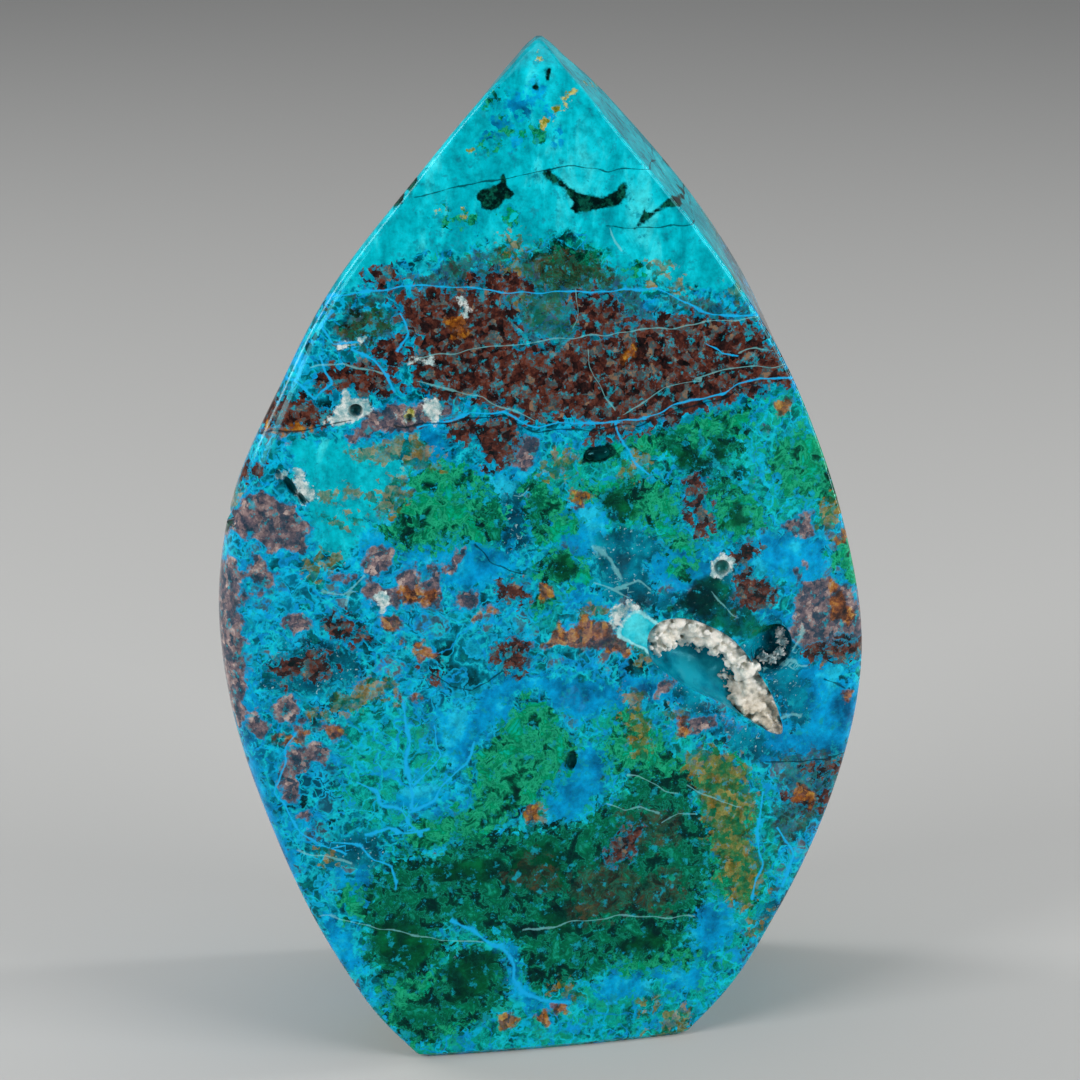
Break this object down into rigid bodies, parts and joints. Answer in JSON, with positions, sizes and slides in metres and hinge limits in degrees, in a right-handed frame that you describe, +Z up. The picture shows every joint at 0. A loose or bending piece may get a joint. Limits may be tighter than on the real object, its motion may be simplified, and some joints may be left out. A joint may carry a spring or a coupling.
{
  "type": "chrysocolla specimen",
  "caption": "Polished free-standing chrysocolla stone, leaf-shaped with a flat base, its front face opened by small crystal-lined hollows.",
  "frame": {"origin": "middle of the flat base that the stone stands on", "axes": "+Z up towards the tip, polished front with the hollows towards -Y, +X to the right seen from the front"},
  "size_m": [0.0949, 0.0464, 0.15],
  "materials": {
    "stone": "high polish, blue and green chrysocolla and malachite with brown and rust bands",
    "chalcedony": "cloudy white crust with a waxy lustre",
    "quartz": "small glassy quartz points"
  },
  "bodies": {
    "root": {"stone": "stone", "chalcedony_crust": "chalcedony", "quartz_druse": "quartz"}
  },
  "joints": []
}
